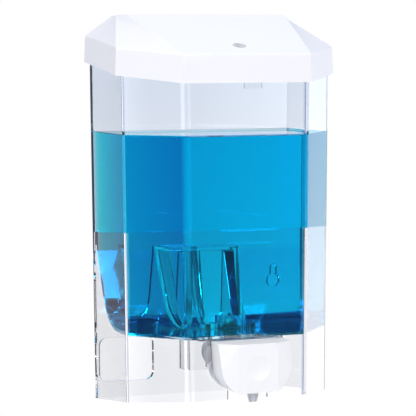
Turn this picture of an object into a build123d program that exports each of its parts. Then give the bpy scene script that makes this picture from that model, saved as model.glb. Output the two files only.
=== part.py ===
from build123d import *
import os
from math import atan2, cos, sin, sqrt, tan

# Wall mounted soap dispenser: a clear casing with a soap tank in its upper part, a white hinged
# lid with a key lock, and a push button that works a small piston pump under the tank.
#
# The frame: +Z is up, the wall is the plane y = 0, the front faces -Y, and the origin is midway
# between the two keyholes. Heights in the named values below are counted from the casing's
# bottom edge at the wall, and up() takes them into the frame. All sizes are millimetres.

KEYHOLE_HEIGHT = 67.4
KEYHOLE_SPACING = 81.2
KEY_HEAD_R = 3.65
KEY_SLOT_R = 1.9
KEY_SLOT_RISE = 7.0

CASE_HALF_LOW = 58.1        # half-width at the bottom edge
CASE_HALF_HIGH = 60.0       # half-width at CASE_DRAFT_HEIGHT
CASE_DRAFT_HEIGHT = 190.0
CASE_DEPTH = 89.3
CASE_SIDE_DEPTH = 58.5      # how far the side panels reach from the wall
CHAMFER_WIDTH = 25.1        # how far each slanting panel takes the front panel in
FRONT_CORNER_R = 6.0        # outer radius of the two upright corners beside the front panel
SIDE_CORNER_R = 1.6         # and of the two beside the side panels
MIN_CORNER_R = 0.6
CASE_TOP = 202.0
BOTTOM_SLOPE = 0.12         # the bottom edge rises to the front, the top edge falls to it
WALL = 2.0
BACK = 3.0

WINDOW_X = 39.3
WINDOW_HEIGHT = 22.0
WINDOW_SIZE = (31.0, 24.9)
WINDOW_CORNER = 4.5

TANK_FLOOR = 43.3
LIQUID_LEVEL = 150.7
BAND_TOP = 94.8
BAND_TALL = 7.5
BAND_SLOPE = 0.075
GLUE = 0.05
TUB_INSET = 2.15            # tub's outer face, in from the casing's
TUB_WALL = 1.6
TUB_REAR = 5.2
TUB_REAR_HEIGHT = 84.8      # where the rear wall starts to lean forward
TUB_HEEL = 23.3             # where the leaning wall would meet the floor
TUB_HEEL_R = 27.8
RIB_HALF = 12.2
RIB_WALL = 2.2
RIB_FRONT = ((88.0, 25.0), (60.0, 32.0), (50.0, 37.5), (TANK_FLOOR, 41.5))     # height, depth
SPINE_HALF = 8.5
SPINE_FRONT = 13.0
SPINE_TOP = 62.0
SPINE_BOTTOM = 15.0
LIQUID_GAP = 0.1
BOSS_R = 4.5                # screw bosses on the tank's floor
BOSS_TALL = 5.5
SCREW_DEEP = 4.5            # how far each screw reaches above the tank's underside

BUTTON_HALF = 20.5
BUTTON_TOP = 42.2
BUTTON_SHOULDER = 28.0      # below this the outline curves in to the bottom
BUTTON_SHOULDER_HALF = 19.5
BUTTON_BOTTOM = 16.0
BUTTON_BOTTOM_HALF = 10.9
BUTTON_GAP = 0.4
BUTTON_FACE_HALF = 11.0
BUTTON_FACE_DEPTH = 105.5
BUTTON_FLANK_DEPTH = 102.5  # outer edge of the lower flanks
BUTTON_CORNER_DEPTH = 99.3  # top outer corners, where the upper flanks lean back
BUTTON_CAVITY_DEPTH = 99.2
POCKET_DEPTH = 103.5        # front of the square pocket behind the nose
POCKET_SIZE = 18.0
MOUTH_DEPTH = 101.2         # front of the opening in the button's bottom
MOUTH_SIZE = (15.0, 10.0)
SOCKET_R = 6.2              # collar round the rod's tip
BUTTON_REAR_DEPTH = 80.0
BUTTON_WALL = 2.0
DISH_R = 6.6
DISH_DEEP = 1.0
DISH_SPHERE_R = (DISH_R**2 + DISH_DEEP**2) / (2 * DISH_DEEP)
DISH_HEIGHT = 29.3

PUMP_HEIGHT = 30.0
BARREL_R = 9.5
BORE_R = 7.5
BARREL_FRONT = 77.0
BARREL_REAR = 42.0
CHAMBER_REAR = 45.0
INLET_DEPTH = 52.0
SPOUT_R = 5.2
SPOUT_BORE_R = 3.4
SPOUT_TOP = 47.5
SEAL_NECK_R = SPOUT_R + 1.7
SEAL_RIM_R = 8.3
STRAINER_R = 6.6
STRAINER_TOP = 52.0
PLATE_SIZE = (36.0, 18.0)
PLATE_TOP = 42.0
PLATE_TALL = 2.5
SCREW_X = 13.0
SCREW_R = 1.5
HEAD_FRONT = 70.0
HEAD_REAR = 65.0
CAP_TALL = 3.0
SEAL_SEAT_R = 6.05          # bore of the rod seal's seat and of the piston seal
ROD_R = 4.0
ROD_BORE_R = 2.0
ROD_TIP = 103.2
NOZZLE_DEPTH = 96.5

# Each level of the lid: half-width at the wall and at the side corner, half-width of the front
# edge, depth of the front edge and depth of the side corner.
LID_RIM_LOW = (63.2, 63.2, 36.5, 91.8, 58.0)
LID_RIM_HIGH = (62.6, 62.6, 36.1, 90.9, 57.4)
LID_CREST = (47.3, 49.6, 46.4, 28.3, 16.0)
LID_LOW, LID_LOW_SLOPE = 190.3, 0.121      # height at the wall, and fall towards the front
LID_HIGH, LID_HIGH_SLOPE = 204.7, 0.113
LID_TOP = 216.2
LID_EDGE_R = 1.0            # the lid's soft outer edges
LID_WALL = 1.3
LID_ROOF = 2.0
HINGE_DEPTH = 5.7
HINGE_HEIGHT = 210.5
HINGE_PIN_R = 2.0
RUNNING = 0.05
LUG_R = 3.3
EAR_R = 3.6
LUG_X = (30.0, 36.0)
EAR_X = (36.4, 40.4)
LOCK_DEPTH = 78.0
LOCK_HOLE_R = 3.75
LOCK_SHANK_R = 2.5

os.makedirs("parts", exist_ok=True)


def up(height):
    """A height above the casing's bottom edge, as a z in the frame."""
    return height - KEYHOLE_HEIGHT


def finish(piece, name):
    """Name a finished piece and write it to its own file."""
    piece.part.label = name
    export_step(piece.part, f"parts/{name}.step")


def case_half(height):
    """The casing's half-width, which grows evenly with height."""
    draft = (CASE_HALF_HIGH - CASE_HALF_LOW) / CASE_DRAFT_HEIGHT
    return CASE_HALF_LOW + draft * height


def chamfer_plane(side, inset):
    """The plane of a slanting panel, moved in by inset; its normal points into the casing."""
    draft = (CASE_HALF_HIGH - CASE_HALF_LOW) / CASE_DRAFT_HEIGHT
    run = CASE_DEPTH - CASE_SIDE_DEPTH
    inward = Vector(-side * run, CHAMFER_WIDTH, draft * run).normalized()
    corner = Vector(side * CASE_HALF_LOW, -CASE_SIDE_DEPTH, up(0))
    return Plane(origin=corner + inward * inset, x_dir=(0, 0, 1), z_dir=inward)


def slope_plane(height, slope):
    """A plane that is level from side to side, at this height at the wall, rising to the back."""
    return Plane(origin=(0, 0, up(height)), x_dir=(1, 0, 0), z_dir=(0, -slope, 1))


def tank_form(inset, back, low, high):
    """The casing's half-octagon solid between two heights, with its faces moved in."""
    left_low, left_high = case_half(low) - inset, case_half(high) - inset
    with BuildPart() as form:
        with BuildSketch(Plane.XZ.offset(back)):
            Polygon((-left_low, up(low)), (left_low, up(low)),
                    (left_high, up(high)), (-left_high, up(high)), align=None)
        extrude(amount=CASE_DEPTH - inset - back)
        for side in (1, -1):
            split(bisect_by=chamfer_plane(side, inset), keep=Keep.TOP)
        halfway = (CASE_DEPTH + CASE_SIDE_DEPTH) / 2
        upright = [e for e in form.edges() if abs((e % 0.5).Z) > 0.9]
        beside_front = [e for e in upright if e.center().Y < -halfway]
        beside_side = [e for e in upright if -halfway < e.center().Y < -back - 1]
        fillet(beside_side, max(SIDE_CORNER_R - inset, MIN_CORNER_R))
        fillet(beside_front, max(FRONT_CORNER_R - inset, MIN_CORNER_R))
    return form.part


def button_outline(gap, bottom):
    """The button's front outline, shrunk by gap, with its lower edge at the height bottom."""
    half, low_half = BUTTON_SHOULDER_HALF - gap, BUTTON_BOTTOM_HALF - gap
    top, shoulder, foot = up(BUTTON_TOP) - gap, up(BUTTON_SHOULDER), up(BUTTON_BOTTOM + gap)
    belly = (half - 0.30 * (half - low_half), shoulder - 0.60 * (shoulder - foot))
    with BuildSketch(Plane.XZ.offset(BUTTON_FACE_DEPTH)) as outline:
        with BuildLine():
            Polyline((0, top), (BUTTON_HALF - gap, top), (half, shoulder))
            ThreePointArc((half, shoulder), belly, (low_half, foot))
            if up(bottom) < foot:
                Line((low_half, foot), (low_half, up(bottom)))
            Line((low_half, min(foot, up(bottom))), (0, min(foot, up(bottom))))
            mirror(about=Plane.YZ)
        make_face()
    return outline.sketch


def ring(inner_r, outer_r, front, rear):
    """A ring about the pump's axis between two depths from the wall."""
    with BuildPart() as piece:
        with BuildSketch(Plane.XZ.offset(rear)):
            with Locations((0, up(PUMP_HEIGHT))):
                Circle(outer_r)
                if inner_r > 0:
                    Circle(inner_r, mode=Mode.SUBTRACT)
        extrude(amount=front - rear)
    return piece.part


def post(x, depth, radius, low, high):
    """An upright cylinder between two heights."""
    with BuildPart() as piece:
        with BuildSketch(Plane.XY.offset(up(low))):
            with Locations((x, -depth)):
                Circle(radius)
        extrude(amount=high - low)
    return piece.part


# ---------------------------------------------------------------- casing
with BuildPart() as cutout:
    add(button_outline(-BUTTON_GAP, 0))
    extrude(amount=BUTTON_FACE_DEPTH - CASE_DEPTH + 2 * WALL, dir=(0, 1, 0))

with BuildPart() as hinge_lugs:
    for side in (1, -1):
        with BuildSketch(Plane.YZ.offset(side * sum(LUG_X) / 2)):
            with Locations((-HINGE_DEPTH, up(HINGE_HEIGHT))):
                Circle(LUG_R)
            with BuildLine():
                Polyline((-BACK + 0.5, up(190)), (-BACK + 0.5, up(205)),
                         (-HINGE_DEPTH + LUG_R, up(HINGE_HEIGHT)),
                         (-HINGE_DEPTH - LUG_R, up(HINGE_HEIGHT)),
                         (-HINGE_DEPTH - LUG_R, up(203)), close=True)
            make_face()
        extrude(amount=(LUG_X[1] - LUG_X[0]) / 2, both=True)

with BuildPart() as casing:
    add(tank_form(0, 0, -5, CASE_TOP + 5))
    add(tank_form(WALL, BACK, -10, CASE_TOP + 10), mode=Mode.SUBTRACT)
    split(bisect_by=slope_plane(0, -BOTTOM_SLOPE), keep=Keep.TOP)
    split(bisect_by=slope_plane(CASE_TOP, BOTTOM_SLOPE), keep=Keep.BOTTOM)
    add(hinge_lugs.part)
    add(cutout.part, mode=Mode.SUBTRACT)
    with BuildSketch(Plane.XZ):
        with Locations(*[(side * WINDOW_X, up(WINDOW_HEIGHT)) for side in (1, -1)]):
            RectangleRounded(*WINDOW_SIZE, WINDOW_CORNER)
        with Locations(*[(side * KEYHOLE_SPACING / 2, 0) for side in (1, -1)]):
            Circle(KEY_HEAD_R)
        with Locations(*[(side * KEYHOLE_SPACING / 2, KEY_SLOT_RISE / 2) for side in (1, -1)]):
            SlotCenterToCenter(KEY_SLOT_RISE, 2 * KEY_SLOT_R, rotation=90)
    extrude(amount=BACK + 1, mode=Mode.SUBTRACT)
    with BuildSketch(Plane.YZ):
        with Locations((-HINGE_DEPTH, up(HINGE_HEIGHT))):
            Circle(HINGE_PIN_R)
    extrude(amount=LUG_X[1] + 1, both=True, mode=Mode.SUBTRACT)
finish(casing, "casing")


# ---------------------------------------------------------------- tank base
def bowl_form(wall):
    """The tub's bowl, its faces moved in by wall: the casing's plan cut to the bowl's profile."""
    with BuildPart() as bowl:
        add(tank_form(TUB_INSET + wall, BACK, TANK_FLOOR - 1, BAND_TOP + BAND_TALL + 8))
        with BuildSketch(Plane.YZ) as profile:
            Polygon((-TUB_REAR, up(140)), (-TUB_REAR, up(TUB_REAR_HEIGHT)),
                    (-TUB_HEEL, up(TANK_FLOOR)), (-140, up(TANK_FLOOR)), (-140, up(140)), align=None)
            heel = profile.vertices().sort_by_distance((0, -TUB_HEEL, up(TANK_FLOOR)))[0]
            fillet(heel, TUB_HEEL_R)
            offset(amount=-wall)
        extrude(amount=CASE_HALF_HIGH + 5, both=True, mode=Mode.INTERSECT)
    return bowl.part


def rib_form(half, inset, rear, bottom):
    """The channel in the middle of the bowl's rear wall, which goes on down as a narrow spine."""
    with BuildPart() as rib:
        with BuildSketch(Plane.YZ):
            Polygon((-rear, up(RIB_FRONT[0][0])), *[(-depth, up(height)) for height, depth in RIB_FRONT],
                    (-rear, up(TANK_FLOOR)), align=None)
            offset(amount=-inset)
        extrude(amount=half, both=True)
        with BuildSketch(Plane.YZ):
            Polygon((-rear, up(SPINE_TOP)), (-SPINE_FRONT, up(SPINE_TOP)), (-SPINE_FRONT, up(bottom)),
                    (-rear, up(bottom)), align=None)
            offset(amount=-inset)
        extrude(amount=half - RIB_HALF + SPINE_HALF, both=True)
    return rib.part


bowl_outer = bowl_form(0)
bowl_inner = bowl_form(TUB_WALL)
rib_outer = rib_form(RIB_HALF, 0, BACK + 1, SPINE_BOTTOM)
rib_inner = rib_form(RIB_HALF - RIB_WALL, RIB_WALL, -10, SPINE_BOTTOM - 10)

with BuildPart() as tank_base:
    add(tank_form(WALL + GLUE, BACK + GLUE, BAND_TOP - 20, BAND_TOP + 20))
    split(bisect_by=slope_plane(BAND_TOP, -BAND_SLOPE), keep=Keep.BOTTOM)
    split(bisect_by=slope_plane(BAND_TOP - BAND_TALL, -BAND_SLOPE), keep=Keep.TOP)
    add(bowl_outer)
    split(bisect_by=slope_plane(BAND_TOP, -BAND_SLOPE), keep=Keep.BOTTOM)
    add(bowl_inner, mode=Mode.SUBTRACT)
    add(rib_outer)
    add(rib_inner, mode=Mode.SUBTRACT)
    for side in (1, -1):
        add(post(side * SCREW_X, INLET_DEPTH, BOSS_R, TANK_FLOOR, TANK_FLOOR + BOSS_TALL))
        add(post(side * SCREW_X, INLET_DEPTH, SCREW_R + RUNNING,
                 TANK_FLOOR - 1, TANK_FLOOR + SCREW_DEEP + 0.5), mode=Mode.SUBTRACT)
    add(post(0, INLET_DEPTH, SEAL_NECK_R + 0.1, TANK_FLOOR - 1, TANK_FLOOR + 5), mode=Mode.SUBTRACT)
finish(tank_base, "tank_base")

# ---------------------------------------------------------------- liquid soap
# The fill stays a hair's breadth off every wall it wets.
with BuildPart() as liquid_soap:
    add(tank_form(WALL + LIQUID_GAP, BACK + LIQUID_GAP, BAND_TOP, LIQUID_LEVEL))
    split(bisect_by=slope_plane(BAND_TOP + LIQUID_GAP, -BAND_SLOPE), keep=Keep.TOP)
    add(bowl_form(TUB_WALL + LIQUID_GAP))
    split(bisect_by=Plane.XY.offset(up(LIQUID_LEVEL)), keep=Keep.BOTTOM)
    add(rib_form(RIB_HALF + LIQUID_GAP, -LIQUID_GAP, -10, SPINE_BOTTOM), mode=Mode.SUBTRACT)
    for side in (1, -1):
        add(post(side * SCREW_X, INLET_DEPTH, BOSS_R + LIQUID_GAP,
                 TANK_FLOOR, TANK_FLOOR + BOSS_TALL + LIQUID_GAP), mode=Mode.SUBTRACT)
    add(post(0, INLET_DEPTH, SEAL_RIM_R + 0.9, TANK_FLOOR, TANK_FLOOR + 10), mode=Mode.SUBTRACT)
finish(liquid_soap, "liquid_soap")

# ---------------------------------------------------------------- pump, fixed pieces
with BuildPart() as pump_body:
    add(ring(0, BARREL_R, BARREL_FRONT, BARREL_REAR))
    with BuildSketch(Plane.XY.offset(up(PLATE_TOP - PLATE_TALL))):
        with Locations((0, -INLET_DEPTH)):
            RectangleRounded(*PLATE_SIZE, 4)
    extrude(amount=PLATE_TALL)
    add(post(0, INLET_DEPTH, SPOUT_R, PUMP_HEIGHT, SPOUT_TOP))
    for side in (1, -1):
        add(post(side * SCREW_X, INLET_DEPTH, 3.4, PLATE_TOP, TANK_FLOOR - GLUE))
        add(post(side * SCREW_X, INLET_DEPTH, SCREW_R + RUNNING, PLATE_TOP - 3, TANK_FLOOR),
            mode=Mode.SUBTRACT)
    add(ring(0, BORE_R, BARREL_FRONT + 1, CHAMBER_REAR), mode=Mode.SUBTRACT)
    add(post(0, INLET_DEPTH, SPOUT_BORE_R, 39, SPOUT_TOP + 1), mode=Mode.SUBTRACT)
    add(post(0, INLET_DEPTH, 2.0, PUMP_HEIGHT, 40), mode=Mode.SUBTRACT)
finish(pump_body, "pump_body")

with BuildPart() as barrel_cap:
    add(ring(0, BARREL_R, BARREL_FRONT + CAP_TALL, BARREL_FRONT + GLUE))
    add(ring(0, BORE_R - RUNNING, BARREL_FRONT + GLUE, HEAD_FRONT + 2))
    add(ring(0, ROD_R + 0.4, BARREL_FRONT + CAP_TALL + 1, HEAD_FRONT), mode=Mode.SUBTRACT)
    add(ring(0, SEAL_SEAT_R, BARREL_FRONT + 0.5, HEAD_FRONT + 3.5), mode=Mode.SUBTRACT)
finish(barrel_cap, "barrel_cap")

with BuildPart() as rod_seal:
    add(ring(ROD_R + 0.1, SEAL_SEAT_R - GLUE, BARREL_FRONT + 0.3, HEAD_FRONT + 3.7))
finish(rod_seal, "rod_seal")

with BuildPart() as inlet_seal:
    add(post(0, INLET_DEPTH, SEAL_NECK_R, PLATE_TOP + GLUE, TANK_FLOOR + TUB_WALL + 1))
    add(post(0, INLET_DEPTH, SEAL_RIM_R, PLATE_TOP + GLUE, TANK_FLOOR - GLUE))
    add(post(0, INLET_DEPTH, SEAL_RIM_R, TANK_FLOOR + TUB_WALL + GLUE, TANK_FLOOR + TUB_WALL + 1))
    add(post(0, INLET_DEPTH, SPOUT_R + GLUE, PLATE_TOP - 1, TANK_FLOOR + 8), mode=Mode.SUBTRACT)
finish(inlet_seal, "inlet_seal")

with BuildPart() as inlet_valve:
    with BuildSketch(Plane.XZ.offset(INLET_DEPTH)):
        with BuildLine():
            Polyline((1.9, up(48.4)), (4.6, up(48.4)), (4.6, up(47.55)), (3.2, up(47.55)),
                     (3.2, up(45)), (1.0, up(41)), (0.4, up(41)), (1.9, up(45)), close=True)
        make_face()
    revolve(axis=Axis((0, -INLET_DEPTH, 0), (0, 0, 1)))
finish(inlet_valve, "inlet_valve")

with BuildPart() as inlet_strainer:
    add(post(0, INLET_DEPTH, STRAINER_R, TANK_FLOOR + TUB_WALL + 1 + GLUE, STRAINER_TOP))
    add(post(0, INLET_DEPTH, STRAINER_R - 1.2, TANK_FLOOR + TUB_WALL, STRAINER_TOP - 1.2),
        mode=Mode.SUBTRACT)
    with BuildSketch(Plane.XY.offset(up(50))):
        with Locations((0, -INLET_DEPTH)):
            Circle(1.0)
            with PolarLocations(3.2, 6):
                Circle(1.0)
    extrude(amount=3, mode=Mode.SUBTRACT)
finish(inlet_strainer, "inlet_strainer")

with BuildPart() as pump_screws:
    for side in (1, -1):
        add(post(side * SCREW_X, INLET_DEPTH, SCREW_R,
                 PLATE_TOP - PLATE_TALL - 0.5, TANK_FLOOR + SCREW_DEEP))
        add(post(side * SCREW_X, INLET_DEPTH, 2.9, PLATE_TOP - PLATE_TALL - 2,
                 PLATE_TOP - PLATE_TALL - GLUE))
        for turn in (0, 90):
            with BuildSketch(Plane.XY.offset(up(PLATE_TOP - PLATE_TALL - 2))):
                with Locations((side * SCREW_X, -INLET_DEPTH)):
                    Rectangle(3.4, 0.8, rotation=turn)
            extrude(amount=1, mode=Mode.SUBTRACT)
finish(pump_screws, "pump_screws")

SPRING_TURNS = 6
SPRING_WIRE_R = 0.5
SPRING_COIL_R = 5.6
SPRING_LENGTH = HEAD_REAR - CHAMBER_REAR - 2 * SPRING_WIRE_R - 0.2
spring_rear = (0, -CHAMBER_REAR - SPRING_WIRE_R - 0.1, up(PUMP_HEIGHT))
with BuildPart() as return_spring:
    with BuildLine():
        coil = Helix(SPRING_LENGTH / SPRING_TURNS, SPRING_LENGTH, SPRING_COIL_R,
                     center=spring_rear, direction=(0, -1, 0))
    with BuildSketch(Plane(origin=coil @ 0, z_dir=coil % 0)):
        Circle(SPRING_WIRE_R)
    sweep(path=coil, is_frenet=True)
finish(return_spring, "return_spring")

# ---------------------------------------------------------------- piston and nozzle
with BuildPart() as piston:
    add(ring(0, BORE_R - 0.3, HEAD_FRONT, HEAD_REAR))
    add(ring(0, ROD_R, ROD_TIP, HEAD_FRONT))
    add(post(0, NOZZLE_DEPTH, 3.4, 18.2, PUMP_HEIGHT))
    add(ring(SEAL_SEAT_R - GLUE, BORE_R + 1, HEAD_FRONT - 1.4, HEAD_REAR + 1.4), mode=Mode.SUBTRACT)
    add(ring(0, ROD_BORE_R, NOZZLE_DEPTH + 2.6, HEAD_REAR - 1), mode=Mode.SUBTRACT)
    add(post(0, NOZZLE_DEPTH, 1.6, 16, PUMP_HEIGHT), mode=Mode.SUBTRACT)
finish(piston, "piston")

with BuildPart() as piston_seal:
    add(ring(SEAL_SEAT_R, BORE_R - 0.08, HEAD_FRONT - 1.5, HEAD_REAR + 1.5))
finish(piston_seal, "piston_seal")

with BuildPart() as outlet_valve:
    with BuildSketch(Plane.XZ.offset(NOZZLE_DEPTH)):
        with BuildLine():
            Polyline((1.2, up(18.1)), (3.35, up(18.1)), (3.35, up(17.25)), (1.9, up(17.25)),
                     (0.8, up(14.4)), (0.3, up(14.4)), (1.2, up(17.0)), close=True)
        make_face()
    revolve(axis=Axis((0, -NOZZLE_DEPTH, 0), (0, 0, 1)))
finish(outlet_valve, "outlet_valve")

with BuildPart() as nozzle:
    with BuildSketch(Plane.XZ.offset(NOZZLE_DEPTH)):
        with BuildLine():
            Polyline((3.45, up(22)), (4.2, up(22)), (4.2, up(16.5)), (3.3, up(15.4)),
                     (3.1, up(14.7)), (2.2, up(10.2)), (1.2, up(10.2)), (1.2, up(12.5)),
                     (2.1, up(13.5)), (2.1, up(17.2)), (3.45, up(17.2)), close=True)
        make_face()
    revolve(axis=Axis((0, -NOZZLE_DEPTH, 0), (0, 0, 1)))
finish(nozzle, "nozzle")

# ---------------------------------------------------------------- push button
BULKHEAD_FRONT = 92.0
BULKHEAD_REAR = 90.0
LIP_FRONT = 86.9
LIP_REAR = 84.6


def flank_plane(side, upper):
    """A flank beside the nose: the lower one is upright, the upper one leans back to the top."""
    nose = Vector(side * BUTTON_FACE_HALF, -BUTTON_FACE_DEPTH, up(BUTTON_TOP))
    shoulder = Vector(side * BUTTON_SHOULDER_HALF, -BUTTON_FLANK_DEPTH, up(BUTTON_SHOULDER))
    top = Vector(side * BUTTON_HALF, -BUTTON_CORNER_DEPTH, up(BUTTON_TOP))
    across = (top if upper else Vector(shoulder.X, shoulder.Y, nose.Z)) - nose
    outward = across.cross(shoulder - nose).normalized()
    return Plane(origin=nose, z_dir=outward if outward.Y < 0 else -outward)


with BuildPart() as button_cavity:
    add(button_outline(BUTTON_WALL, BUTTON_BOTTOM + BUTTON_WALL))
    extrude(amount=BUTTON_FACE_DEPTH - BUTTON_REAR_DEPTH + 1, dir=(0, 1, 0))
    split(bisect_by=Plane.XZ.offset(BUTTON_CAVITY_DEPTH), keep=Keep.BOTTOM)

with BuildPart() as button:
    add(button_outline(0, BUTTON_BOTTOM))
    extrude(amount=BUTTON_FACE_DEPTH - BUTTON_REAR_DEPTH, dir=(0, 1, 0))
    for side in (1, -1):
        for upper in (True, False):
            split(bisect_by=flank_plane(side, upper), keep=Keep.BOTTOM)
    add(button_cavity.part, mode=Mode.SUBTRACT)
    with BuildSketch(Plane.XZ.offset(BUTTON_REAR_DEPTH - 1)):
        with Locations((0, up(BUTTON_BOTTOM + 1))):
            Rectangle(*MOUTH_SIZE)
    extrude(amount=MOUTH_DEPTH - BUTTON_REAR_DEPTH + 1, mode=Mode.SUBTRACT)
    with BuildSketch(Plane.XZ.offset(BUTTON_CAVITY_DEPTH - 1)):
        with Locations((0, up(BUTTON_BOTTOM + 12.5))):
            RectangleRounded(POCKET_SIZE, POCKET_SIZE, 3)
    extrude(amount=POCKET_DEPTH - BUTTON_CAVITY_DEPTH + 1, mode=Mode.SUBTRACT)
    add(ring(ROD_R + 0.1, SOCKET_R, POCKET_DEPTH + 0.4, ROD_TIP - 2.9))
    with BuildSketch(Plane.XZ.offset(BULKHEAD_REAR)):
        with Locations((0, up(30.4))):
            Rectangle(37.6, 22.5)
        add(button_outline(0.5, BUTTON_BOTTOM + 0.5), mode=Mode.INTERSECT)
        with Locations((0, up(PUMP_HEIGHT))):
            Circle(ROD_R + 0.3, mode=Mode.SUBTRACT)
        with Locations((0, up(20))):
            Rectangle(2 * ROD_R + 0.6, 20, mode=Mode.SUBTRACT)
    extrude(amount=BULKHEAD_FRONT - BULKHEAD_REAR)
    with Locations((0, -BUTTON_FACE_DEPTH - DISH_SPHERE_R + DISH_DEEP, up(DISH_HEIGHT))):
        Sphere(DISH_SPHERE_R, mode=Mode.SUBTRACT)
    for side in (1, -1):
        with BuildSketch(Plane.XZ.offset(LIP_REAR)):
            with Locations((side * (BUTTON_HALF + 0.4), up(35))):
                Rectangle(3.6, 9)
        extrude(amount=LIP_FRONT - LIP_REAR)
finish(button, "button")

with BuildPart() as button_clip:
    add(ring(ROD_R + 0.02, 6.6, BULKHEAD_REAR - 0.1, BULKHEAD_REAR - 1.1))
    with BuildSketch(Plane.XZ.offset(BULKHEAD_REAR - 2)):
        with Locations((0, up(PUMP_HEIGHT - 6))):
            Rectangle(5.4, 8)
    extrude(amount=3, mode=Mode.SUBTRACT)
finish(button_clip, "button_clip")

# ---------------------------------------------------------------- lid
rim_depth, crest_depth = LID_RIM_HIGH[3], LID_CREST[3]
lock_slope = atan2(LID_TOP - LID_HIGH + LID_HIGH_SLOPE * rim_depth, rim_depth - crest_depth)
lock_mouth = Vector(0, -LOCK_DEPTH, up(LID_TOP) - (LOCK_DEPTH - crest_depth) * tan(lock_slope))
lock_out = Vector(0, -sin(lock_slope), cos(lock_slope))


def lid_section(height, slope, shape, inset, rear):
    """One level of the lid: a half octagon drawn on a plane that falls to the front."""
    rear_half, half, front_half, depth, side_depth = shape
    plane = slope_plane(height, slope)
    stretch = sqrt(1 + slope**2)
    right = [(rear_half - inset, rear), (half - inset, -side_depth + 0.36 * inset),
             (front_half - 0.47 * inset, -depth + inset)]
    points = right + [(-x, y) for x, y in reversed(right)]
    with BuildSketch(plane) as level:
        Polygon(*[(x, y * stretch) for x, y in points], align=None)
    return level.sketch


def lid_form(inset, drop, rear, corner_r, low):
    """The lid's solid with its walls moved in, rounded about the hinge at its top rear edge."""
    with BuildPart() as form:
        loft([lid_section(LID_LOW - low, LID_LOW_SLOPE, LID_RIM_LOW, inset, rear),
              lid_section(LID_HIGH - 0.6 * drop, LID_HIGH_SLOPE, LID_RIM_HIGH, inset, rear),
              lid_section(LID_TOP - drop, 0, LID_CREST, 0.35 * inset, rear)], ruled=True)
        with BuildSketch(Plane.YZ):
            with BuildLine():
                Polyline((-HINGE_DEPTH, up(HINGE_HEIGHT) + corner_r),
                         (-120, up(HINGE_HEIGHT) + corner_r),
                         (-120, up(150)), (2, up(150)), (2, up(HINGE_HEIGHT)),
                         (-HINGE_DEPTH + corner_r, up(HINGE_HEIGHT)))
                RadiusArc((-HINGE_DEPTH + corner_r, up(HINGE_HEIGHT)),
                          (-HINGE_DEPTH, up(HINGE_HEIGHT) + corner_r), -corner_r)
            make_face()
        extrude(amount=CASE_HALF_HIGH + 10, both=True, mode=Mode.INTERSECT)
    return form.part


lid_outer = lid_form(0, 0, 0, LID_TOP - HINGE_HEIGHT - 0.001, 0)
lid_inner = lid_form(LID_WALL, LID_ROOF, 2, LID_TOP - HINGE_HEIGHT - LID_ROOF, 3)
lock_plane = Plane(origin=lock_mouth, x_dir=(1, 0, 0), z_dir=lock_out)

with BuildPart() as lid_ears:
    for side in (1, -1):
        with BuildSketch(Plane.YZ.offset(side * sum(EAR_X) / 2)):
            with Locations((-HINGE_DEPTH, up(HINGE_HEIGHT))):
                Circle(EAR_R)
            with Locations((-HINGE_DEPTH - 1.0, up(HINGE_HEIGHT) + 2.3)):
                Rectangle(5.2, 4.6)
        extrude(amount=(EAR_X[1] - EAR_X[0]) / 2, both=True)

with BuildPart() as lid:
    add(lid_outer)
    outer_edges = [e for e in lid.edges() if e.center().Y < -HINGE_DEPTH - 0.5
                   and max(v.Z for v in e.vertices()) > up(LID_LOW) + 1]
    fillet(outer_edges, LID_EDGE_R)
    add(lid_inner, mode=Mode.SUBTRACT)
    split(bisect_by=Plane.XZ.offset(0.2), keep=Keep.TOP)
    add(lid_ears.part)
    with BuildSketch(lock_plane.offset(-LID_ROOF / 2)):
        Circle(6.2)
    extrude(amount=-7)
    with BuildSketch(lock_plane.offset(3)):
        Circle(LOCK_HOLE_R)
    extrude(amount=-7.6, mode=Mode.SUBTRACT)
    with BuildSketch(lock_plane):
        Circle(LOCK_SHANK_R + 0.1)
    extrude(amount=-12, mode=Mode.SUBTRACT)
    with BuildSketch(Plane.YZ):
        with Locations((-HINGE_DEPTH, up(HINGE_HEIGHT))):
            Circle(HINGE_PIN_R + RUNNING)
    extrude(amount=EAR_X[1] + 1, both=True, mode=Mode.SUBTRACT)
    for side in (1, -1):
        with BuildSketch(Plane.YZ.offset(side * sum(LUG_X) / 2)):
            with Locations((0, up(HINGE_HEIGHT))):
                Rectangle(2 * HINGE_DEPTH - 3.4, 14)
        extrude(amount=(LUG_X[1] - LUG_X[0]) / 2 + 0.5, both=True, mode=Mode.SUBTRACT)
finish(lid, "lid")

with BuildPart() as hinge_pins:
    for side in (1, -1):
        with BuildSketch(Plane.YZ.offset(side * (LUG_X[0] + EAR_X[1]) / 2)):
            with Locations((-HINGE_DEPTH, up(HINGE_HEIGHT))):
                Circle(HINGE_PIN_R)
        extrude(amount=(EAR_X[1] - LUG_X[0]) / 2 + 0.6, both=True)
finish(hinge_pins, "hinge_pins")

# ---------------------------------------------------------------- lock
HEAD_SUNK = 2.5
CAM_TOP = 8.3
CAM_TALL = 2.0

with BuildPart() as lock_rotor:
    with BuildSketch(lock_plane.offset(-HEAD_SUNK)):
        Circle(LOCK_HOLE_R - 0.08)
    extrude(amount=-2.05)
    with BuildSketch(lock_plane.offset(-HEAD_SUNK - 2)):
        Circle(LOCK_SHANK_R)
    extrude(amount=-(CAM_TOP - HEAD_SUNK - 2 - GLUE))
    with BuildSketch(lock_plane.offset(-CAM_TOP + GLUE)):
        RegularPolygon(2.3, 4)
    extrude(amount=-CAM_TALL)
    with BuildSketch(lock_plane.offset(-HEAD_SUNK)):
        Rectangle(4.6, 1.2)
    extrude(amount=-1.6, mode=Mode.SUBTRACT)
    with BuildSketch(lock_plane.offset(-CAM_TOP - CAM_TALL)):
        Circle(1.05)
    extrude(amount=4, mode=Mode.SUBTRACT)
finish(lock_rotor, "lock_rotor")

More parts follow.
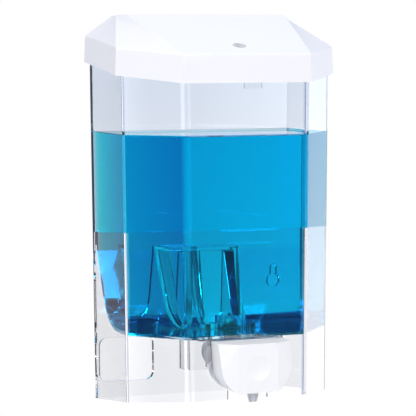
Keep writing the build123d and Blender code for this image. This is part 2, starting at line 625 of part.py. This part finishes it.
with BuildPart() as lock_cam:
    with BuildSketch(lock_plane.offset(-CAM_TOP)):
        Circle(5.0)
        with Locations((0, -6.5)):
            SlotOverall(10, 6, rotation=90)
        RegularPolygon(2.35, 4, mode=Mode.SUBTRACT)
    extrude(amount=-CAM_TALL)
finish(lock_cam, "lock_cam")

with BuildPart() as cam_screw:
    with BuildSketch(lock_plane.offset(-CAM_TOP - CAM_TALL - GLUE)):
        Circle(3.2)
    extrude(amount=-1.4)
    with BuildSketch(lock_plane.offset(-CAM_TOP - CAM_TALL - GLUE)):
        Circle(1.0)
    extrude(amount=3.5)
    with BuildSketch(lock_plane.offset(-CAM_TOP - CAM_TALL - GLUE - 1.4)):
        Rectangle(3.6, 0.8)
        Rectangle(0.8, 3.6)
    extrude(amount=0.7, mode=Mode.SUBTRACT)
finish(cam_screw, "cam_screw")

with BuildPart() as lock_strike:
    with BuildSketch(Plane.XZ.offset(CASE_DEPTH - WALL - GLUE)):
        with Locations((4, up(183.5))):
            RectangleRounded(10, 15, 1)
    extrude(amount=-1)
    with BuildSketch(Plane.XY.offset(up(189.2))):
        with Locations((4, -84.95)):
            Rectangle(10, 4.5)
    extrude(amount=1.8)
finish(lock_strike, "lock_strike")
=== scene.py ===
# %% [markdown]
# # A wall mounted soap dispenser, step by step
# The dispenser is a clear half-octagon casing with blue liquid soap in its upper part, a white
# lid on a hinge and a white push button at the bottom. Most of what you see is clear plastic, so
# this lesson is mainly about light: what stands behind the casing, how thick the walls are and
# how far a ray travels through the soap decide every colour in it.

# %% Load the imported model
import math

import bpy
import numpy as np
from mathutils import Matrix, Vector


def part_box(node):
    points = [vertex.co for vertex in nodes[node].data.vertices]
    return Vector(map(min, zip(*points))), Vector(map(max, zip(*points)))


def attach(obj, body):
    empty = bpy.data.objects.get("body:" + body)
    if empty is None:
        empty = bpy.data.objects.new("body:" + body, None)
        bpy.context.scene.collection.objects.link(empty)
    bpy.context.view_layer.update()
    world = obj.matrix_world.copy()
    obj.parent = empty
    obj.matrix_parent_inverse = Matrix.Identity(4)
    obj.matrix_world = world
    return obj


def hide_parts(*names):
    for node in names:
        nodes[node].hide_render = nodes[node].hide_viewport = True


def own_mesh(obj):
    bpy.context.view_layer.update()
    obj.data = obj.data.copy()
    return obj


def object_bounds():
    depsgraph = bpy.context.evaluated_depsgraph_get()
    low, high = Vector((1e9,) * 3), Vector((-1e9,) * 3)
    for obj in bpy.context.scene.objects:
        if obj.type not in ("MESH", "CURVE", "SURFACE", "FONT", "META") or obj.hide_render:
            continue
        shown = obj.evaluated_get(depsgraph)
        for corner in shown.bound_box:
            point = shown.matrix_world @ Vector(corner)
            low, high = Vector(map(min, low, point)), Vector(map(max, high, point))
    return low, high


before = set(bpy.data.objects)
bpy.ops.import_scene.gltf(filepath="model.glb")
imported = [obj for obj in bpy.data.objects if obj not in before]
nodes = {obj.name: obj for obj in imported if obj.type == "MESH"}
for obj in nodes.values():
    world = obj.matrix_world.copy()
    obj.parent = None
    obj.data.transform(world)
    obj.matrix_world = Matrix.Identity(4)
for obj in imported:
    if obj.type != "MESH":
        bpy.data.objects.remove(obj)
CAD_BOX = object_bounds()
print("cad box", CAD_BOX)

# %% [markdown]
# ## The camera
# Everything is measured from the object's own box. The camera stands in front and a little to
# the left, just above the middle, far enough away for the upright edges to stay nearly parallel.

# %% Camera
low, high = (np.array(corner) for corner in CAD_BOX)
WALL_Y = high[1]
BASE_Z = low[2]

AZIMUTH = math.radians(-19.994)
ELEVATION = math.radians(4.415)
ROLL = math.radians(-0.233)
DISTANCE = 1.10057
SENSOR = 36.0                            # width of the sensor, in millimetres
LENS = 172.78702                         # focal length, in millimetres
CLIP_START = 0.01
ASIDE, OFF_WALL, ABOVE_FOOT = -0.00617, 0.045, 0.10979
TARGET = np.array([ASIDE, WALL_Y - OFF_WALL, BASE_Z + ABOVE_FOOT])


def standing(right, upward, back, place):
    """The matrix of a thing at a place whose own axes point right, upward and back."""
    columns = np.column_stack([right, upward, back, place])
    return Matrix(np.vstack([columns, [0, 0, 0, 1]]).tolist())


def place_camera():
    """Camera on a sphere round the target: azimuth and elevation give its side, roll its tilt."""
    data = bpy.data.cameras.new("camera")
    camera = bpy.data.objects.new("camera", data)
    bpy.context.scene.collection.objects.link(camera)
    data.lens = LENS
    data.sensor_width = SENSOR
    data.clip_start = CLIP_START
    back = np.array([math.sin(AZIMUTH) * math.cos(ELEVATION),
                     -math.cos(AZIMUTH) * math.cos(ELEVATION),
                     math.sin(ELEVATION)])
    right = np.array([math.cos(AZIMUTH), math.sin(AZIMUTH), 0.0])
    upward = np.cross(back, right)
    rolled_right = math.cos(ROLL) * right + math.sin(ROLL) * upward
    rolled_up = math.cos(ROLL) * upward - math.sin(ROLL) * right
    camera.matrix_world = standing(rolled_right, rolled_up, back, TARGET + DISTANCE * back)
    bpy.context.scene.camera = camera
    return camera


camera = place_camera()
print("camera at", tuple(round(v, 3) for v in camera.matrix_world.translation))

# %% [markdown]
# ## Light and background
# Clear plastic has no colour of its own: it shows what is behind it and mirrors what is in front
# of it. So the surround is the most important part of this scene. Behind the dispenser it is a
# bright paper sweep, a little bluer and dimmer higher up and off to the right. In front the room
# is dark, because any brightness there would lie over the blue soap as a grey veil. The camera's
# own rays see plain white everywhere.

# %% World
ROOM = (0.035, 0.037, 0.042)
# Compass turn (0 is the front, a half turn is straight behind) and the paper's colour there.
SWEEP = [(-180, (1.00, 1.00, 1.03)), (-168, (0.20, 0.20, 0.23)), (-150, (0.20, 0.20, 0.23)),
         (-135, (1.00, 1.00, 1.05)), (-108, (1.00, 1.00, 1.05)), (-95, ROOM), (95, ROOM),
         (101, (0.78, 0.80, 0.86)), (109, (0.80, 0.82, 0.88)), (117, (1.60, 1.62, 1.68)),
         (124, (1.60, 1.62, 1.68)), (131, (0.80, 0.83, 0.93)), (141, (0.48, 0.52, 0.76)),
         (151, (0.95, 0.99, 1.08)), (156.5, (1.22, 1.22, 1.24)), (158, (1.14, 1.14, 1.16)),
         (160, (1.00, 1.00, 1.03)), (161.5, (0.94, 0.94, 0.98)), (163, (1.20, 1.20, 1.22)),
         (180, (1.00, 1.00, 1.03))]
HIGH_TINT = (0.82, 0.89, 0.985)
HIGH_FROM, HIGH_TO = -0.12, -0.02        # the tint grows between these slopes of the view
MIX_A, MIX_B, MIX_RESULT = 6, 7, 2       # a Mix node's sockets when it mixes colours


def make_world():
    """Compass turn = arctan2(x, -y) of the ray, looked up in SWEEP, times a tint by its slope."""
    world = bpy.data.worlds.new("surround")
    bpy.context.scene.world = world
    world.use_nodes = True
    tree = world.node_tree
    tree.nodes.clear()
    node = tree.nodes.new
    link = tree.links.new
    coords, parts = node("ShaderNodeTexCoord"), node("ShaderNodeSeparateXYZ")
    link(coords.outputs["Generated"], parts.inputs[0])
    front = node("ShaderNodeMath")
    front.operation = "MULTIPLY"
    front.inputs[1].default_value = -1.0
    link(parts.outputs["Y"], front.inputs[0])
    turn = node("ShaderNodeMath")
    turn.operation = "ARCTAN2"
    link(parts.outputs["X"], turn.inputs[0])
    link(front.outputs[0], turn.inputs[1])
    place = node("ShaderNodeMapRange")
    place.inputs["From Min"].default_value = -math.pi
    place.inputs["From Max"].default_value = math.pi
    link(turn.outputs[0], place.inputs["Value"])
    ramp = node("ShaderNodeValToRGB")
    stops = ramp.color_ramp.elements
    while len(stops) < len(SWEEP):
        stops.new(0.5)
    for stop, (degrees, colour) in zip(stops, SWEEP):
        stop.position = (degrees + 180) / 360
        stop.color = (*colour, 1)
    link(place.outputs[0], ramp.inputs[0])
    slope = node("ShaderNodeMapRange")
    slope.inputs["From Min"].default_value = HIGH_FROM
    slope.inputs["From Max"].default_value = HIGH_TO
    link(parts.outputs["Z"], slope.inputs["Value"])
    tint = node("ShaderNodeMix")
    tint.data_type = "RGBA"
    tint.blend_type = "MULTIPLY"
    link(slope.outputs[0], tint.inputs[0])
    link(ramp.outputs[0], tint.inputs[MIX_A])
    tint.inputs[MIX_B].default_value = (*HIGH_TINT, 1)
    out, mix, path = (node("ShaderNodeOutputWorld"), node("ShaderNodeMixShader"),
                      node("ShaderNodeLightPath"))
    seen, light = node("ShaderNodeBackground"), node("ShaderNodeBackground")
    seen.inputs["Color"].default_value = (1, 1, 1, 1)
    link(tint.outputs[MIX_RESULT], light.inputs["Color"])
    link(path.outputs["Is Camera Ray"], mix.inputs["Fac"])
    link(light.outputs[0], mix.inputs[1])
    link(seen.outputs[0], mix.inputs[2])
    link(mix.outputs[0], out.inputs["Surface"])


make_world()
print("surround:", len(SWEEP), "stops")

# %% [markdown]
# ## Lamps
# White plastic needs light from the front, but a lamp that a flat clear panel can mirror into the
# camera would show as a white patch. The panels are upright, so they only mirror what is level
# with them. The lamps therefore stand high, and are soft enough to leave no hard shadow.

# %% Lamps
MIDDLE = (low + high) / 2
LAMP_DISTANCE = 1.8
# Name, compass turn and rise in degrees, width in metres, power in watts.
LAMPS = [("key_lamp", 8, 27, 0.7, 21.0), ("left_lamp", -78, 34, 0.6, 20.0),
         ("right_lamp", 60, 34, 0.6, 8.0)]


def soft_lamp(name, degrees, rise, size, power):
    """A square lamp at a compass turn and a rise above the horizon, facing inwards."""
    turn, lift = math.radians(degrees), math.radians(rise)
    back = np.array([math.sin(turn) * math.cos(lift), -math.cos(turn) * math.cos(lift),
                     math.sin(lift)])
    right = np.array([math.cos(turn), math.sin(turn), 0.0])
    data = bpy.data.lights.new(name, "AREA")
    data.size = size
    data.energy = power
    lamp = bpy.data.objects.new(name, data)
    bpy.context.scene.collection.objects.link(lamp)
    lamp.matrix_world = standing(right, np.cross(back, right), back,
                                 MIDDLE + LAMP_DISTANCE * back)


for lamp_settings in LAMPS:
    soft_lamp(*lamp_settings)
print("lamps:", len(LAMPS))

# %% [markdown]
# ## Bounces and colour
# A ray that enters a clear wall at a shallow angle is mirrored inside it many times before it gets
# out. When it runs out of bounces it turns black, and the upright edges show thick dark lines. So
# the limits are high. The Standard view keeps the whites white.

# %% Bounces and view
BOUNCES = 48
cycles = bpy.context.scene.cycles
cycles.max_bounces = cycles.transmission_bounces = cycles.glossy_bounces = BOUNCES
bpy.context.scene.view_settings.view_transform = "Standard"
print("bounces:", BOUNCES)

# %% [markdown]
# ## The floor
# The dispenser hangs on a wall, so the floor is well below it. It is small, because a floor that
# reached far back would show through the clear skirt as grey patches.

# %% Floor
FLOOR_DROP = 0.35
FLOOR_SIZE = 2.6
bpy.ops.mesh.primitive_plane_add(size=FLOOR_SIZE, location=(0, 0, BASE_Z - FLOOR_DROP))
floor = bpy.context.object
floor.name = "floor"
print("floor", FLOOR_DROP, "m below the dispenser")


# %% [markdown]
# ## Materials
# Each finish has its own short function. They all start from the same Principled shader, and each
# gets a slow drift of tone and sheen from noise, because no real moulding is quite even.

# %% Material helpers
def new_material(name):
    """A material with one Principled shader, and the tools to add nodes to it."""
    material = bpy.data.materials.new(name)
    material.use_nodes = True
    tree = material.node_tree
    return material, tree, tree.nodes["Principled BSDF"]


def paint(names, material):
    """Give every slot of these CAD nodes this material."""
    for name in names:
        mesh = nodes[name].data
        if not mesh.materials:
            mesh.materials.append(material)
        for index in range(len(mesh.materials)):
            mesh.materials[index] = material


def noise(tree, scale, detail=2.0):
    """A noise pattern that reads object coordinates."""
    coords = tree.nodes.new("ShaderNodeTexCoord")
    pattern = tree.nodes.new("ShaderNodeTexNoise")
    pattern.inputs["Scale"].default_value = scale
    pattern.inputs["Detail"].default_value = detail
    tree.links.new(coords.outputs["Object"], pattern.inputs["Vector"])
    return pattern


def bump(tree, shader, pattern, height):
    """Send a pattern to the shader's normal as a shallow relief of this height in metres."""
    node = tree.nodes.new("ShaderNodeBump")
    node.inputs["Distance"].default_value = height
    node.inputs["Strength"].default_value = 1.0
    tree.links.new(pattern.outputs["Fac"], node.inputs["Height"])
    tree.links.new(node.outputs["Normal"], shader.inputs["Normal"])


NOISE_FROM, NOISE_TO = 0.3, 0.7          # noise seldom leaves this range


def vary(tree, pattern, socket, least, most):
    """Send a pattern to a number socket, from least where it is dark to most where it is bright."""
    spread = tree.nodes.new("ShaderNodeMapRange")
    spread.inputs["From Min"].default_value = NOISE_FROM
    spread.inputs["From Max"].default_value = NOISE_TO
    spread.inputs["To Min"].default_value = least
    spread.inputs["To Max"].default_value = most
    tree.links.new(pattern.outputs["Fac"], spread.inputs["Value"])
    tree.links.new(spread.outputs[0], socket)


def two_tone(tree, pattern, socket, colour, share):
    """Let a colour drift between itself and share times itself, by a pattern."""
    blend = tree.nodes.new("ShaderNodeMix")
    blend.data_type = "RGBA"
    blend.inputs[MIX_A].default_value = (*colour, 1)
    blend.inputs[MIX_B].default_value = (*[share * part for part in colour], 1)
    tree.links.new(pattern.outputs["Fac"], blend.inputs[0])
    tree.links.new(blend.outputs[MIX_RESULT], socket)


# %% [markdown]
# ## Clear finishes
# What makes clear plastic, silicone and soap look different is mostly how strongly each bends
# light. The soap's blue is not on its surface: light loses its red, and a little green, along
# every millimetre it travels inside.

# %% Clear finishes
PLASTIC_IOR, SILICONE_IOR, SOAP_IOR = 1.49, 1.41, 1.34
SOAP_TINT, SOAP_DENSITY = (0.0, 0.9525, 0.985), 200.0


def clear_plastic():
    """Polished clear moulding: a slow ripple from the mould, and skin that is not quite even."""
    material, tree, shader = new_material("clear_plastic")
    shader.inputs["Transmission Weight"].default_value = 1.0
    shader.inputs["IOR"].default_value = PLASTIC_IOR
    two_tone(tree, noise(tree, 30.0), shader.inputs["Base Color"], (0.99, 0.995, 1.0), 0.985)
    vary(tree, noise(tree, 120.0), shader.inputs["Roughness"], 0.0, 0.01)
    bump(tree, shader, noise(tree, 20.0), 0.00001)
    return material


def clear_silicone():
    """Soft milky silicone, which lets most light through."""
    material, tree, shader = new_material("clear_silicone")
    shader.inputs["Transmission Weight"].default_value = 0.9
    shader.inputs["IOR"].default_value = SILICONE_IOR
    two_tone(tree, noise(tree, 200.0), shader.inputs["Base Color"], (0.95, 0.97, 0.98), 0.95)
    vary(tree, noise(tree, 400.0), shader.inputs["Roughness"], 0.2, 0.35)
    return material


def soap_liquid():
    """Clear blue liquid: its colour is in its depth, not on its surface, which only ripples."""
    material, tree, shader = new_material("soap_liquid")
    shader.inputs["Base Color"].default_value = (1, 1, 1, 1)
    shader.inputs["Transmission Weight"].default_value = 1.0
    shader.inputs["IOR"].default_value = SOAP_IOR
    vary(tree, noise(tree, 60.0), shader.inputs["Roughness"], 0.0, 0.005)
    bump(tree, shader, noise(tree, 20.0), 0.00001)
    absorb = tree.nodes.new("ShaderNodeVolumeAbsorption")
    absorb.inputs["Color"].default_value = (*SOAP_TINT, 1)
    absorb.inputs["Density"].default_value = SOAP_DENSITY
    tree.links.new(absorb.outputs[0], tree.nodes["Material Output"].inputs["Volume"])
    return material


# %% [markdown]
# ## White and small finishes
# The lid and the button are satin white. The pump and the nozzle are thin and milky, so some light
# comes through them. The small steel and rubber parts share one simple finish.

# %% White and small finishes
WHITE_DRIFT, SMALL_DRIFT = 0.01, 0.06    # how far the roughness wanders either way


def white_plastic(name, colour, roughness, milky=0.0):
    """Satin white moulding: a fine skin, a slow drift of tone, and as milky as it is thin."""
    material, tree, shader = new_material(name)
    shader.inputs["Transmission Weight"].default_value = milky
    two_tone(tree, noise(tree, 40.0), shader.inputs["Base Color"], colour, 0.975)
    vary(tree, noise(tree, 250.0), shader.inputs["Roughness"],
         roughness - WHITE_DRIFT, roughness + WHITE_DRIFT)
    bump(tree, shader, noise(tree, 900.0), 0.00002)
    return material


def plain(name, colour, roughness, metallic=0.0):
    """A small part's finish: a faint grain and a slightly worn sheen."""
    material, tree, shader = new_material(name)
    shader.inputs["Metallic"].default_value = metallic
    two_tone(tree, noise(tree, 300.0), shader.inputs["Base Color"], colour, 0.9)
    vary(tree, noise(tree, 800.0), shader.inputs["Roughness"],
         roughness - SMALL_DRIFT, roughness + SMALL_DRIFT)
    bump(tree, shader, noise(tree, 1500.0), 0.00001)
    return material


# %% [markdown]
# ## The soap
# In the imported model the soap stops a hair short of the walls. Light would cross a film of air
# there and mirror on both sides of it, which real soap never does, because it wets the walls. So
# the visible soap is a copy that reaches half a millimetre into the plastic. A ray then bends as
# it does between plastic and liquid. Only the level surface stays where it is.

# %% [markdown]
# A CAD node's mesh is loose triangles: each corner is a point of its own. Points that lie on each
# other have to become one before the surface can be pushed out without tearing.

# %% Points and triangles of a CAD node
MERGE = 0.00001                          # points nearer than this are one point
GRID_SHIFT = 0.137                       # keeps round numbers away from the edge of a grid cell


def merged_mesh(mesh):
    """Points rounded to MERGE and made one where they agree, with the triangles on them."""
    mesh.calc_loop_triangles()
    points = np.empty(len(mesh.vertices) * 3)
    mesh.vertices.foreach_get("co", points)
    corners = np.empty(len(mesh.loop_triangles) * 3, dtype=int)
    mesh.loop_triangles.foreach_get("vertices", corners)
    grid = np.round(points.reshape(-1, 3) / MERGE + GRID_SHIFT)
    _, first, index = np.unique(grid, axis=0, return_index=True, return_inverse=True)
    triangles = index.ravel()[corners].reshape(-1, 3)
    whole = (triangles != np.roll(triangles, 1, axis=1)).all(axis=1)
    return points.reshape(-1, 3)[first], triangles[whole]


# %% [markdown]
# To push a surface out by an even amount, a corner where three faces meet has to move further than
# the middle of one face. Each point's move m is the smallest one with n . m = SOAK for the normal n
# of every face round it, which is a small least squares sum for each point.

# %% Push a surface outwards
SOAK = 0.0005                            # how far the soap reaches into the plastic
NEARLY_FLAT = 0.05                       # faces that differ by less than this count as one
NO_AREA = 1e-15


def pushed_out(points, triangles, amount):
    """m = pinv(sum of n n^T) (sum of n) x amount, over the triangles round each point."""
    a, b, c = (points[triangles[:, k]] for k in range(3))
    normal = np.cross(b - a, c - a)
    normal /= np.maximum(np.linalg.norm(normal, axis=1, keepdims=True), NO_AREA)
    squares, sums = np.zeros((len(points), 3, 3)), np.zeros((len(points), 3))
    np.add.at(squares, triangles, (normal[:, :, None] * normal[:, None, :])[:, None])
    np.add.at(sums, triangles, normal[:, None])
    inverse = np.linalg.pinv(squares, rcond=NEARLY_FLAT, hermitian=True)
    return points + amount * np.einsum("vij,vj->vi", inverse, sums)


# %% [markdown]
# Where a liquid meets a wall its surface climbs a little. That thin curved rim shows as a dark
# line along the level, so the level face is drawn in towards its middle in a few rings, each one
# lower than the ring outside it.

# %% Raise the rim of the level
CLIMB = 0.0009                           # how far the soap climbs the wall
RIM_SHARE = 0.045                        # how far in the rim reaches, as a share of the way
RIM_STEPS = 4


def with_rim(points, triangles, level):
    """Ring k of n: the outline scaled by 1 - RIM_SHARE k / n, at level + CLIMB (1 - k / n)^2."""
    flat = (points[triangles][:, :, 2] > level - MERGE).all(axis=1)
    cap, sides = triangles[flat], triangles[~flat]
    edges = np.concatenate([cap[:, [0, 1]], cap[:, [1, 2]], cap[:, [2, 0]]])
    code = edges @ [len(points), 1]
    outer = edges[~np.isin(code, edges[:, ::-1] @ [len(points), 1])]
    rim = np.unique(cap)
    place = np.zeros(len(points), dtype=int)
    place[rim] = np.arange(len(rim))
    step = np.arange(RIM_STEPS + 1)[:, None, None] / RIM_STEPS
    centre = points[rim].mean(axis=0)
    rings = centre + (points[rim] - centre) * (1 - RIM_SHARE * step)
    rings[:, :, 2] = level + CLIMB * (1 - step[:, :, 0]) ** 2
    index = np.vstack([rim, len(points) + np.arange(RIM_STEPS * len(rim)).reshape(RIM_STEPS, -1)])
    points = points.copy()
    points[rim] = rings[0]
    start, end = index[:, place[outer[:, 0]]], index[:, place[outer[:, 1]]]
    bands = np.stack([start[:-1], end[:-1], end[1:], start[1:]], axis=2).reshape(-1, 4)
    points = np.vstack([points, rings[1:].reshape(-1, 3)])
    return points, sides.tolist() + bands.tolist() + index[-1][place[cap]].tolist()


# %% [markdown]
# The three steps make the visible soap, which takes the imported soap's place.

# %% Wetted soap
def wetted_soap():
    """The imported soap, pushed out by SOAK but kept below its level, with a rim at the level."""
    points, triangles = merged_mesh(nodes["liquid_soap"].data)
    level = points[:, 2].max()
    points = pushed_out(points, triangles, SOAK)
    points[:, 2] = np.minimum(points[:, 2], level)
    points, faces = with_rim(points, triangles, level)
    mesh = bpy.data.meshes.new("wetted_soap")
    mesh.from_pydata(points.tolist(), [], faces)
    mesh.validate()
    piece = bpy.data.objects.new("wetted_soap", mesh)
    bpy.context.scene.collection.objects.link(piece)
    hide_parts("liquid_soap")
    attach(piece, "housing")
    print("wetted soap:", len(points), "points,", len(faces), "faces")
    return piece


soap = wetted_soap()
soap.data.materials.clear()
soap.data.materials.append(soap_liquid())

# %% [markdown]
# ## The return spring
# A steel coil behind the piston pushes the button out again, and gets shorter as the button goes
# in.
# Here it is a round wire wound on a helix, in place of the imported spring.

# %% Return spring
SPRING_TURNS = 6
WIRE_R = 0.0005
STEPS_PER_TURN = 32
STEPS_ROUND_WIRE = 10


def coil_spring():
    """Point (u, v): at angle u on the helix, plus WIRE_R times (cos v outwards + sin v along)."""
    front, rear = (np.array(corner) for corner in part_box("return_spring"))
    centre, span = (front + rear) / 2, rear - front
    u = np.linspace(0, 2 * np.pi * SPRING_TURNS, SPRING_TURNS * STEPS_PER_TURN + 1)[:, None]
    v = np.linspace(0, 2 * np.pi, STEPS_ROUND_WIRE, endpoint=False)[None, :]
    out = span[0] / 2 - WIRE_R + WIRE_R * np.cos(v)
    along = (span[1] - 2 * WIRE_R) * u / u[-1] + WIRE_R * np.sin(v)
    points = np.stack([centre[0] + out * np.cos(u), front[1] + WIRE_R + along,
                       centre[2] + out * np.sin(u)], axis=2)
    index = np.arange(points[..., 0].size).reshape(points.shape[:2])
    after = np.roll(index, -1, axis=1)
    quads = np.stack([index[:-1], index[1:], after[1:], after[:-1]], axis=2).reshape(-1, 4)
    faces = quads.tolist() + [index[0].tolist(), index[-1, ::-1].tolist()]
    mesh = bpy.data.meshes.new("coil_spring")
    mesh.from_pydata(points.reshape(-1, 3).tolist(), [], faces)
    a, b, c = (points.reshape(-1, 3)[quads[:, k]] - centre for k in range(3))
    if np.einsum("ij,ij->i", a, np.cross(b, c)).sum() < 0:
        mesh.flip_normals()
    mesh.polygons.foreach_set("use_smooth", [True] * len(faces))
    piece = bpy.data.objects.new("coil_spring", mesh)
    bpy.context.scene.collection.objects.link(piece)
    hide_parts("return_spring")
    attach(piece, "housing")
    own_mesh(piece)
    return piece


spring = coil_spring()

# %% [markdown]
# ## Giving each piece its finish
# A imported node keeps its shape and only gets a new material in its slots.

# %% Assign the finishes
clear = clear_plastic()
paint(["casing", "tank_base", "lock_strike", "inlet_strainer"], clear)
paint(["lid"], white_plastic("lid_white", (0.815, 0.81, 0.845), 0.35))
paint(["button"], white_plastic("button_white", (0.87, 0.865, 0.885), 0.4))
paint(["pump_body", "barrel_cap", "piston"],
      white_plastic("pump_white", (0.97, 0.975, 0.99), 0.3, milky=0.95))
paint(["nozzle"], white_plastic("nozzle_white", (0.97, 0.975, 0.99), 0.4, milky=0.6))
paint(["rod_seal", "piston_seal"], plain("seal_rubber", (0.03, 0.03, 0.035), 0.6))
paint(["inlet_seal", "inlet_valve", "outlet_valve"], clear_silicone())
steel = plain("steel", (0.62, 0.63, 0.65), 0.3, 1.0)
paint(["hinge_pins", "pump_screws", "return_spring", "button_clip", "lock_cam", "cam_screw"], steel)
spring.data.materials.append(steel)
# The lock rotor's dark blue-grey is painted shade: it stands in for the shade inside the lock's
# recess.
paint(["lock_rotor"], plain("lock_dark", (0.10, 0.10, 0.16), 0.4))
print("finishes:", len({m.name for node in nodes.values() for m in node.data.materials}))

# %% [markdown]
# ## The floor's finish
# The camera sees the floor as plain white, like the surround, while the clear parts still mirror a
# matt pale floor.

# %% Floor finish
def floor_finish():
    """Pale floor: matt, and as white as the surround where the camera looks straight at it."""
    material, tree, shader = new_material("floor_white")
    shader.inputs["Base Color"].default_value = (0.9, 0.9, 0.92, 1)
    shader.inputs["Roughness"].default_value = 0.9
    path = tree.nodes.new("ShaderNodeLightPath")
    seen = tree.nodes.new("ShaderNodeEmission")
    mix = tree.nodes.new("ShaderNodeMixShader")
    tree.links.new(path.outputs["Is Camera Ray"], mix.inputs["Fac"])
    tree.links.new(shader.outputs[0], mix.inputs[1])
    tree.links.new(seen.outputs[0], mix.inputs[2])
    tree.links.new(mix.outputs[0], tree.nodes["Material Output"].inputs["Surface"])
    return material


floor.data.materials.append(floor_finish())
